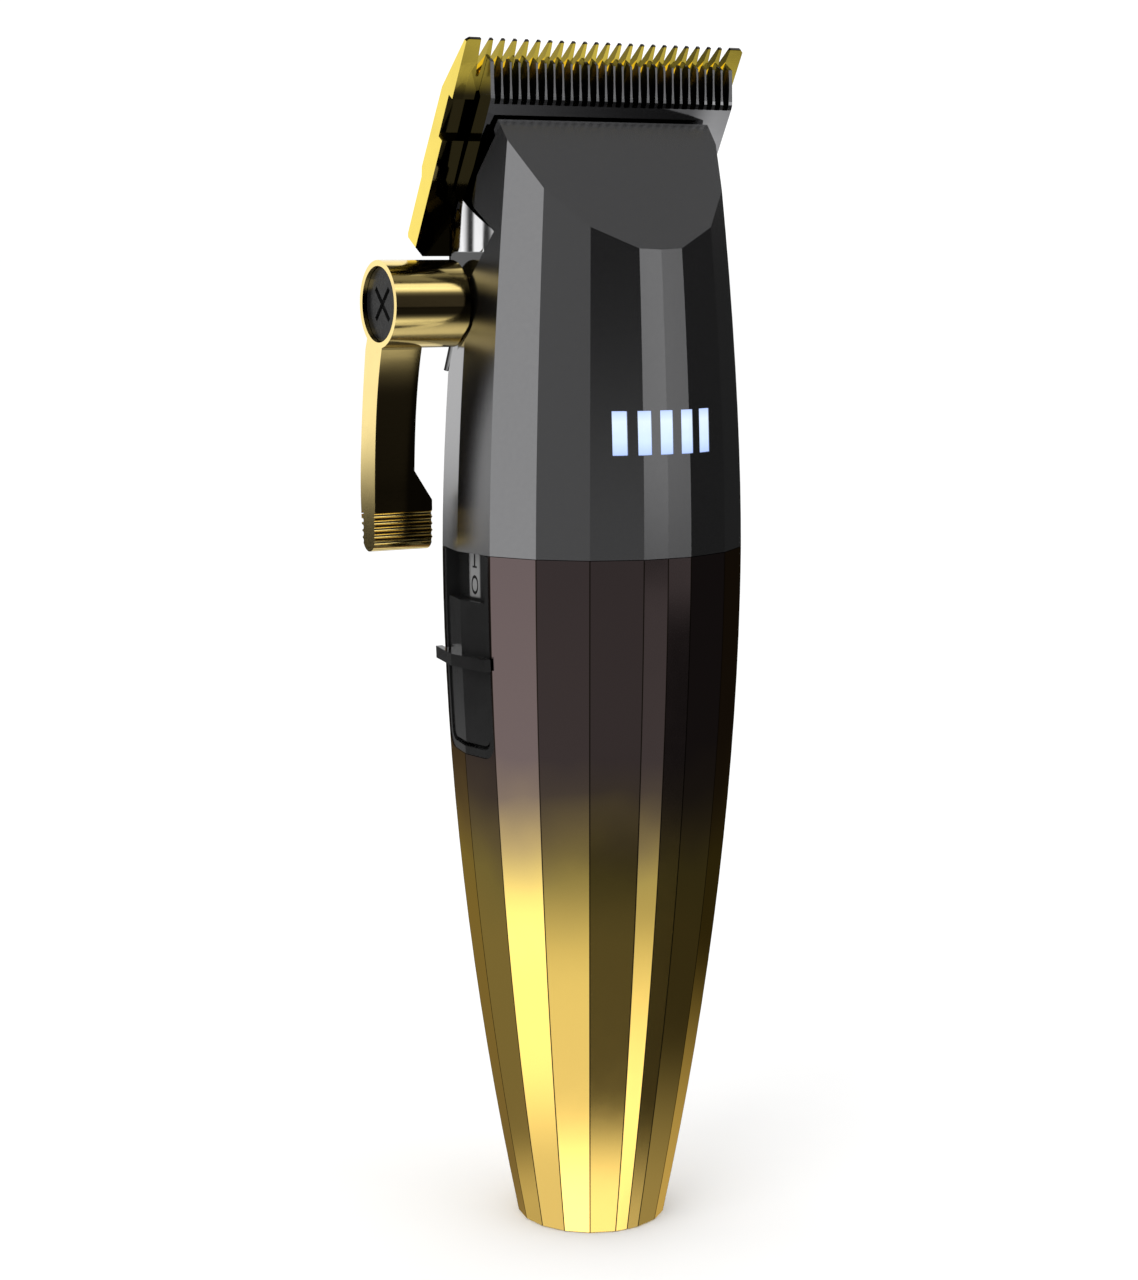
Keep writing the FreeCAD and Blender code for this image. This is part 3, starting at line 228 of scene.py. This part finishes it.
    def bump(self, height, depth):
        """Relief of the given depth."""
        made = self.node("ShaderNodeBump")
        made.inputs["Strength"].default_value = 1.0
        made.inputs["Distance"].default_value = depth * MM
        self.link(height, made.inputs["Height"])
        self.link(made.outputs[0], self.surface.inputs["Normal"])
        return self


def tinted(shader, colour, spread, scale):
    """A colour that drifts a little from place to place."""
    dark = tuple(c * (1 - spread) for c in colour)
    light = tuple(min(1.0, c * (1 + spread)) for c in colour)
    low, high = CLOUD
    return shader.ramp(shader.noise(scale), [(low, dark), (high, light)])


# ---------------------------------------------------------------- materials

def metal(name, colour, roughness, grain=(1.0, 1.0, 1.0), depth=0.002, spread=0.05):
    """Bare or plated metal. Its fine grain is drawn out along the axis with the smallest number."""
    shader = Shader(name)
    fine = shader.noise(3.0, 4.0, shader.stretch(*grain))
    shader.set(base_color=tinted(shader, colour, spread, 0.15),
               metallic=1.0,
               roughness=shader.cloud(fine, roughness * 0.8, roughness * 1.25))
    return shader.bump(fine, depth).material


def plastic(name, colour, roughness, depth=0.01, scale=6.0, gloss=0.5):
    """Moulded plastic with a fine spark-eroded texture."""
    shader = Shader(name)
    fine = shader.noise(scale, 3.0)
    shader.set(base_color=tinted(shader, colour, 0.12, 0.2),
               specular_ior_level=gloss,
               roughness=shader.cloud(fine, roughness * 0.85, roughness * 1.2))
    return shader.bump(fine, depth).material


def ridge_distance(shader):
    """Distance from the nearest ridge of the body."""
    azimuth, radius = shader.around()
    turns = shader.math("FRACT", shader.math("DIVIDE", azimuth, RIDGE_STEP))
    off = shader.product(shader.distance(turns, 0.5), RIDGE_STEP)
    nearest = shader.math("MINIMUM", off, shader.math("ABSOLUTE", azimuth))
    return shader.product(nearest, shader.product(radius, math.radians(1.0)))


def lower_shell():
    """Mirror plating that fades from dark bronze under the seam to gold at the tail."""
    ridge_colour = (0.03, 0.022, 0.015)
    edge_tint = (0.60, 0.49, 0.34, 1.0)
    shader = Shader("mat_lower_shell")
    z = shader.axes()[2]
    drift = shader.cloud(shader.noise(0.05, 2.0), -FADE_DRIFT, FADE_DRIFT)
    fade = shader.ramp(shader.math("DIVIDE", shader.math("ADD", z, drift), SEAM_HEIGHT), FADE)
    line = shader.below(ridge_distance(shader), *RIDGE_LINE)
    smudge = shader.noise(0.35, 5.0)
    shader.set(base_color=shader.mix(line, fade, ridge_colour),
               metallic=1.0,
               specular_tint=edge_tint,
               roughness=shader.span(smudge, 0.35, 0.75, 0.09, 0.105))
    return shader.bump(smudge, 0.0004).material


def head_shell():
    """Satin dark grey metal paint with a fine sparkle."""
    dark, light = (0.262, 0.262, 0.267), (0.272, 0.272, 0.277)
    shader = Shader("mat_head_shell")
    fine = shader.noise(9.0, 3.0)
    shader.set(base_color=shader.ramp(shader.noise(1.5, 4.0), [(CLOUD[0], dark), (CLOUD[1], light)]),
               metallic=1.0,
               roughness=shader.cloud(fine, 0.22, 0.24))
    return shader.bump(fine, 0.0006).material


def fixed_blade_gold():
    """Gold coated steel, ground across. The teeth have dark tips, and the front gets painted shade lower
    down.
    """
    shade_colour = (0.05, 0.04, 0.015)
    tip_colour = (0.02, 0.016, 0.01)
    shader = Shader("mat_gold_blade")
    grain = shader.noise(2.0, 4.0, shader.stretch(0.15, 4.0, 4.0))
    z = shader.axes()[2]
    tip = shader.span(z, FIXED_TOP - TIP_CAP - TIP_EDGE, FIXED_TOP - TIP_CAP)
    forward = shader.below(shader.facing()[1], *BLADE_FRONT)
    # painted shade on the forward faces low down, put into the base colour
    shade = shader.product(forward, shader.below(z, FIXED_TOP - SHADE_FULL, FIXED_TOP - SHADE_START))
    gold = shader.mix(shade, tinted(shader, (0.88, 0.68, 0.10), 0.04, 0.2), shade_colour)
    shader.set(base_color=shader.mix(tip, gold, tip_colour),
               metallic=1.0,
               roughness=shader.cloud(grain, 0.05, 0.09))
    return shader.bump(grain, 0.0004).material


def moving_blade_black():
    """Black coated steel with a bright land along each tooth's front. The gaps, the side faces and the body
    get painted shade, apart from the body's right end; on the body it stands for the dark cover's reflection."""
    land_colour = (0.36, 0.36, 0.37)
    shade_colour = (0.13, 0.13, 0.135)
    foot = MOVING_TOP - TEETH_HEIGHT
    shader = Shader("mat_black_blade")
    grain = shader.noise(2.0, 4.0, shader.stretch(0.15, 4.0, 4.0))
    x, y, z = shader.axes()
    nx, ny, nz = shader.facing()
    teeth = shader.span(z, foot, foot + TEETH_EDGE)
    land = shader.product(shader.below(ny, *TOOTH_FRONT), teeth)
    gaps = shader.product(shader.difference(1.0, land), teeth)
    side = shader.span(shader.math("ABSOLUTE", nx), *SIDE_FACE)
    # painted shade in the gaps and on the side faces, and a painted dark reflection of the cover on the body
    shade = shader.largest(gaps, side, shader.below(x, *COVER_SHADE))
    body = shader.mix(shade, tinted(shader, (0.42, 0.42, 0.43), 0.04, 0.2), shade_colour)
    shader.set(base_color=shader.mix(land, body, land_colour),
               metallic=1.0,
               roughness=shader.math("ADD", shader.cloud(grain, 0.05, 0.09), shader.product(teeth, 0.28)))
    return shader.bump(grain, 0.0004).material


def lever_gold():
    """Gold plate, with painted shade on the faces that look straight forward."""
    front_shade_colour = (0.035, 0.026, 0.012)
    shader = Shader("mat_gold_lever")
    fine = shader.noise(3.0, 4.0, shader.stretch(0.3, 3.0, 3.0))
    # painted shade on the forward faces, put into the base colour
    front = shader.below(shader.facing()[1], *LEVER_FRONT)
    shader.set(base_color=shader.mix(front, tinted(shader, (0.93, 0.72, 0.27), 0.05, 0.15), front_shade_colour),
               metallic=1.0,
               roughness=shader.cloud(fine, 0.09, 0.13))
    return shader.bump(fine, 0.0002).material


def neck_chrome():
    """Polished chrome, with a painted dark reflection on the left towards the back and inside the pocket
    behind the lever hub.
    """
    dark_reflection_colour = (0.055, 0.055, 0.056)
    shader = Shader("mat_frame_chrome")
    fine = shader.noise(3.0, 4.0)
    x, y, z = shader.axes()
    left = shader.below(x, *DARK_REFLECTION_SIDE)
    back = shader.span(y, *DARK_REFLECTION_BACK)
    pocket = shader.below(z, POCKET_TOP - POCKET_EDGE, POCKET_TOP + POCKET_EDGE)
    # painted dark reflection on the left, towards the back and in the pocket, put into the base colour
    dark_reflection = shader.product(shader.largest(back, pocket), left)
    shader.set(base_color=shader.mix(dark_reflection, tinted(shader, (0.86, 0.86, 0.87), 0.03, 0.15), dark_reflection_colour),
               metallic=1.0,
               roughness=shader.cloud(fine, 0.06, 0.09))
    return shader.bump(fine, 0.0003).material


def bar_mark(shader, y, z, centre_z, half):
    """A plain bar, given by its middle's height and its half width and half height."""
    across = shader.near(y, MARK_Y, half[0], MARK_EDGE)
    return shader.product(across, shader.near(z, centre_z, half[1], MARK_EDGE))


def switch_marks(shader, y, z):
    """A plain I above a plain 0, on the floor of the switch's channel."""
    stroke = bar_mark(shader, y, z, I_Z, I_HALF)
    foot = bar_mark(shader, y, z, I_Z - FOOT_DROP, FOOT_HALF)
    wide = shader.math("DIVIDE", shader.difference(y, MARK_Y), ZERO_HALF[0])
    high = shader.math("DIVIDE", shader.difference(z, ZERO_Z), ZERO_HALF[1])
    squares = shader.math("ADD", shader.product(wide, wide), shader.product(high, high))
    ring = shader.near(shader.math("SQRT", squares), 1.0, *ZERO_LINE)
    return shader.largest(stroke, foot, ring)


def bezel_black():
    """Glossy black liner with the two switch marks on a painted grey reflection."""
    grey_reflection_colour = (0.20, 0.20, 0.20)
    mark_colour = (0.006, 0.006, 0.006)
    shader = Shader("mat_switch_bezel")
    x, y, z = shader.axes()
    fine = shader.noise(3.0, 3.0)
    # painted grey reflection of the curved channel floor, under and round the marks
    across = shader.near(y, MARK_Y + PATCH_SHIFT, *PATCH_HALF)
    grey_reflection = shader.product(across, shader.span(z, *(ZERO_Z - drop for drop in PATCH_FOOT)))
    ground = shader.mix(grey_reflection, tinted(shader, (0.012, 0.012, 0.012), 0.12, 0.2), grey_reflection_colour)
    shader.set(base_color=shader.mix(switch_marks(shader, y, z), ground, mark_colour),
               specular_ior_level=0.35,
               roughness=shader.cloud(fine, 0.14, 0.19))
    return shader.bump(fine, 0.001).material


def lens_glow():
    """Frosted window lit from behind, whiter in the middle of each bar."""
    deep_blue, edge_blue = (0.30, 0.42, 0.95), (0.32, 0.45, 0.95)
    pale, palest = (0.62, 0.76, 1.0), (0.75, 0.86, 1.0)
    shader = Shader("mat_lens")
    low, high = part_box("indicator_lens")
    rise = shader.span(shader.axes()[2], low.z / MM, high.z / MM, smooth=False)
    glow = shader.ramp(rise, [(0.0, deep_blue), (0.35, pale), (0.7, palest), (1.0, edge_blue)])
    shader.set(base_color=tinted(shader, (0.15, 0.20, 0.32), 0.06, 1.0),
               roughness=0.35,
               emission_color=glow,
               emission_strength=0.85)
    return shader.bump(shader.noise(5.0), 0.01).material


def cell_wrap():
    """Shrink sleeve of the battery cell with a dark band."""
    band_colour = (0.03, 0.03, 0.035)
    shader = Shader("mat_cell_wrap")
    band = shader.span(shader.axes()[2], *CELL_BAND)
    shader.set(base_color=shader.mix(band, tinted(shader, (0.02, 0.11, 0.42), 0.1, 0.2), band_colour),
               roughness=shader.cloud(shader.noise(0.6, 4.0), 0.25, 0.4),
               coat_weight=0.4)
    return shader.bump(shader.noise(0.5, 4.0), 0.02).material


def board(name, colour):
    """Solder mask over copper tracks."""
    track_colour = tuple(c * 1.8 for c in colour)
    shader = Shader(name)
    cells = shader.node("ShaderNodeTexBrick")
    shader.link(shader.stretch(1.0, 0.0, 1.0), cells.inputs["Vector"])
    cells.inputs["Scale"].default_value = 0.6
    shader.set(base_color=shader.mix(cells.outputs["Fac"], tinted(shader, colour, 0.1, 0.3), track_colour),
               roughness=0.3,
               coat_weight=0.5)
    return shader.bump(cells.outputs["Fac"], 0.03).material


# ---------------------------------------------------------------- materials on the CAD nodes

def slot_materials():
    """One material for each slot of the record."""
    return {
        "lower_shell": lower_shell(),
        "head_shell": head_shell(),
        "frame_chrome": neck_chrome(),
        "gold_blade": fixed_blade_gold(),
        "gold_lever": lever_gold(),
        "black_blade": moving_blade_black(),
        "black_gloss": plastic("mat_black_gloss", (0.012, 0.012, 0.012), 0.16, 0.001, 3.0, gloss=0.35),
        "black_matte": plastic("mat_black_matte", (0.02, 0.02, 0.021), 0.45),
        "steel": metal("mat_steel", (0.56, 0.56, 0.57), 0.25, (3.0, 3.0, 0.3)),
        "zinc_steel": metal("mat_zinc_steel", (0.68, 0.67, 0.63), 0.28),
        "copper_alloy": metal("mat_copper_alloy", (0.86, 0.60, 0.28), 0.22),
        "magnet": plastic("mat_magnet", (0.06, 0.06, 0.065), 0.55, 0.03, 3.0),
        "armature": metal("mat_armature", (0.72, 0.33, 0.16), 0.3, (0.3, 0.3, 6.0), 0.05, 0.2),
        "board_green": board("mat_board_green", (0.01, 0.09, 0.04)),
        "board_black": board("mat_board_black", (0.015, 0.015, 0.018)),
        "parts_black": plastic("mat_parts_black", (0.02, 0.02, 0.022), 0.5, 0.02),
        "cell_wrap": cell_wrap(),
        "lens": lens_glow(),
        "led": plastic("mat_led", (0.85, 0.83, 0.6), 0.3),
    }


def dress_cad_nodes(materials):
    """Gives each CAD node the material of its slot, or its own where the slot's doesn't suit it."""
    slots = {row["node"]: row["material_slot"] for row in frame["record"]["subparts"]}
    own = {
        "switch_bezel": bezel_black(),
        "lever_cap": plastic("mat_lever_cap", (0.010, 0.010, 0.010), 0.3, 0.002, 3.0, gloss=0.12),
    }
    for name, cad in nodes.items():
        for place in cad.material_slots:
            place.material = own.get(name, materials[slots[name]])


# ---------------------------------------------------------------- studio

# Panels of the reflection tent: azimuth (0 is in front, -90 on the lever's side), half width, softness at
# the sides, lower edge, upper edge, softness at those edges, all in degrees, and strength. Where panels
# overlap they add up.
PANELS = [
    (-92.0, 15.0, 12.0, -20.0, 60.0, 8.0, 0.88),       # left light
    (-96.0, 16.0, 10.0, -31.0, -26.0, 6.0, 0.7),       # left light, brightest low down
    (-96.0, 16.0, 10.0, -70.0, -26.0, 6.0, 0.75),      # left light, lower part
    (-130.0, 4.0, 5.0, -2.0, 4.0, 3.0, 1.0),           # small light that only the bright neck shows
    (-140.0, 8.0, 6.0, -30.0, -15.0, 5.0, 0.16),       # weak low light on the left
    (-140.0, 8.0, 6.0, -70.0, -33.0, 3.0, 0.5),        # its lower part
    (-166.0, 10.0, 14.0, -1.0, 50.0, 2.5, 1.15),       # light behind on the left
    (-153.0, 5.0, 5.0, -20.0, -8.0, 2.0, 0.45),        # its lower edge, which the lever's tip shows
    (175.0, 25.0, 15.0, -70.0, -14.0, 8.0, 0.25),      # low back light
    (175.0, 25.0, 15.0, -70.0, -32.0, 8.0, 0.6),       # its lower part
    (28.5, 3.5, 3.5, -1.0, 40.0, 4.0, 0.90),           # narrow front light
    (28.5, 3.5, 3.5, -22.0, -7.0, 3.0, 0.24),          # its middle part
    (28.5, 3.5, 3.5, -70.0, -36.0, 18.0, 1.5),         # its lower part
    (44.0, 7.0, 6.0, -6.0, 26.0, 3.0, 0.22),           # weak light right of it
    (41.0, 5.0, 3.0, -44.0, -40.0, 6.0, 0.55),         # its lower part
    (42.0, 12.0, 10.0, 34.0, 48.0, 5.0, 1.2),          # high front light
    (142.0, 18.0, 12.0, 14.0, 48.0, 8.0, 1.0),         # light behind on the right
    (77.0, 14.0, 10.0, -48.0, -34.0, 8.0, 0.3),        # weak low light on the right
    (66.0, 15.0, 6.0, -72.0, -46.0, 6.0, 0.95),        # low front right light, which the blades show
    (119.0, 10.0, 12.0, -70.0, -27.0, 9.0, 0.75),      # low right light
    (-24.0, 42.0, 6.0, -80.0, -42.0, 6.0, 1.3),        # low front light
    (-12.0, 8.0, 10.0, -16.0, 2.0, 8.0, 0.16),         # faint front light
    (-12.0, 8.0, 10.0, -40.0, -27.0, 5.0, 0.05),       # its lower part
    (-52.0, 12.0, 8.0, -20.0, 60.0, 8.0, 0.2),         # weak front left light
    (-52.0, 12.0, 8.0, -70.0, -30.0, 9.0, 0.8),        # its lower part
    (76.0, 24.0, 14.0, 52.0, 66.0, 8.0, 0.18),         # weak high right light
    (0.0, 180.0, 1.0, 76.0, 90.0, 8.0, 0.8),           # overhead
]
BASE_GLOW = 0.035           # strength between the panels
TENT_RADIUS = 2.5           # metres
FLOOR_RADIUS = 40.0         # metres
FLOOR_DROP = 0.0002         # metres that the floor lies under the tail
WORLD_STRENGTH = 1.12
LIGHT_AIM = (0.0, 0.0, 0.1)
LIGHT_SIZE = 0.8            # metres, along both sides

# The camera, in degrees and metres. It stands left of the front, a little above the middle, with a long lens.
CAMERA_AZIMUTH = 29.297     # from straight in front towards the lever's side
CAMERA_DISTANCE = 0.38766   # from the clipper's upright axis
CAMERA_HEIGHT = 0.14906
CAMERA_PAN = 28.787         # it aims this far from +Y towards +X
CAMERA_TILT = 8.711         # and this far down
CAMERA_LENS = 72.74         # focal length in millimetres
SENSOR_WIDTH = 36.0         # millimetres


def studio_glow(shader):
    """Strength of the reflection tent: soft-edged panels laid out by azimuth and elevation."""
    azimuth, flat = shader.around()
    elevation = shader.math("DEGREES", shader.math("ARCTAN2", shader.axes()[2], flat))
    total = BASE_GLOW
    for centre, half, side_soft, low, high, level_soft, strength in PANELS:
        turn = shader.half_turn(shader.difference(azimuth, centre))
        side = shader.below(shader.math("ABSOLUTE", turn), half, half + side_soft)
        lower = shader.span(elevation, low - level_soft, low)
        upper = shader.below(elevation, high, high + level_soft)
        lit = shader.product(shader.product(side, lower), upper)
        total = shader.math("ADD", shader.product(lit, strength), total)
    return total


def set_piece(name, material, create, **size):
    """A mesh of the studio, made by one bmesh operator."""
    mesh = bpy.data.meshes.new(name)
    shape = bmesh.new()
    create(shape, **size)
    shape.to_mesh(mesh)
    shape.free()
    mesh.materials.append(material)
    made = bpy.data.objects.new(name, mesh)
    bpy.context.scene.collection.objects.link(made)
    return made


def reflection_tent():
    """A ball round the set that only mirror-like surfaces see: bright and dark studio panels."""
    shader = Shader("mat_reflection_tent")
    glow = shader.node("ShaderNodeEmission")
    shader.put(studio_glow(shader), glow.inputs["Strength"])
    shader.link(glow.outputs[0], shader.tree.nodes["Material Output"].inputs["Surface"])
    tent = set_piece("reflection_tent", shader.material, bmesh.ops.create_uvsphere,
                     u_segments=64, v_segments=32, radius=TENT_RADIUS)
    tent.visible_camera = False
    tent.visible_diffuse = False
    tent.visible_shadow = False
    tent.visible_transmission = False


def studio_floor():
    """A plain pale floor, which mirror-like surfaces don't see."""
    shader = Shader("mat_studio_floor")
    shader.set(base_color=tinted(shader, (0.90, 0.90, 0.90), 0.01, 0.02),
               specular_ior_level=0.0,
               roughness=0.9)
    floor = set_piece("studio_floor", shader.material, bmesh.ops.create_circle,
                      cap_ends=True, segments=96, radius=FLOOR_RADIUS)
    floor.location.z = -FLOOR_DROP
    floor.visible_glossy = False


def white_world():
    world = bpy.data.worlds.new("studio_world")
    world.use_nodes = True
    background = world.node_tree.nodes["Background"]
    background.inputs["Color"].default_value = (1.0, 1.0, 1.0, 1.0)
    background.inputs["Strength"].default_value = WORLD_STRENGTH
    bpy.context.scene.world = world


def soft_light(name, place, power):
    """A square light aimed at the clipper, which shows in no reflection."""
    data = bpy.data.lights.new(name, "AREA")
    data.shape = "SQUARE"
    data.size = LIGHT_SIZE
    data.energy = power
    light = bpy.data.objects.new(name, data)
    light.location = place
    light.rotation_mode = "QUATERNION"
    light.rotation_quaternion = (Vector(LIGHT_AIM) - Vector(place)).to_track_quat("-Z", "Y")
    light.visible_camera = False
    light.visible_glossy = False
    bpy.context.scene.collection.objects.link(light)


def camera():
    azimuth, pan, tilt = (math.radians(angle) for angle in (CAMERA_AZIMUTH, CAMERA_PAN, CAMERA_TILT))
    data = bpy.data.cameras.new("camera")
    data.lens = CAMERA_LENS
    data.sensor_width = SENSOR_WIDTH
    data.clip_start = 0.01
    data.clip_end = 100.0
    view = bpy.data.objects.new("camera", data)
    view.location = (
        -CAMERA_DISTANCE * math.sin(azimuth),
        -CAMERA_DISTANCE * math.cos(azimuth),
        CAMERA_HEIGHT,
    )
    forward = Vector((math.sin(pan) * math.cos(tilt), math.cos(pan) * math.cos(tilt), -math.sin(tilt)))
    view.rotation_mode = "QUATERNION"
    view.rotation_quaternion = forward.to_track_quat("-Z", "Y")
    bpy.context.scene.collection.objects.link(view)
    bpy.context.scene.camera = view


def studio():
    reflection_tent()
    studio_floor()
    white_world()
    soft_light("key_light", (-0.9, -0.5, 0.9), 4.0)
    soft_light("fill_light", (0.7, -0.9, 0.5), 1.5)
    camera()
    bpy.context.scene.view_settings.view_transform = "Standard"


dress_cad_nodes(slot_materials())
studio()
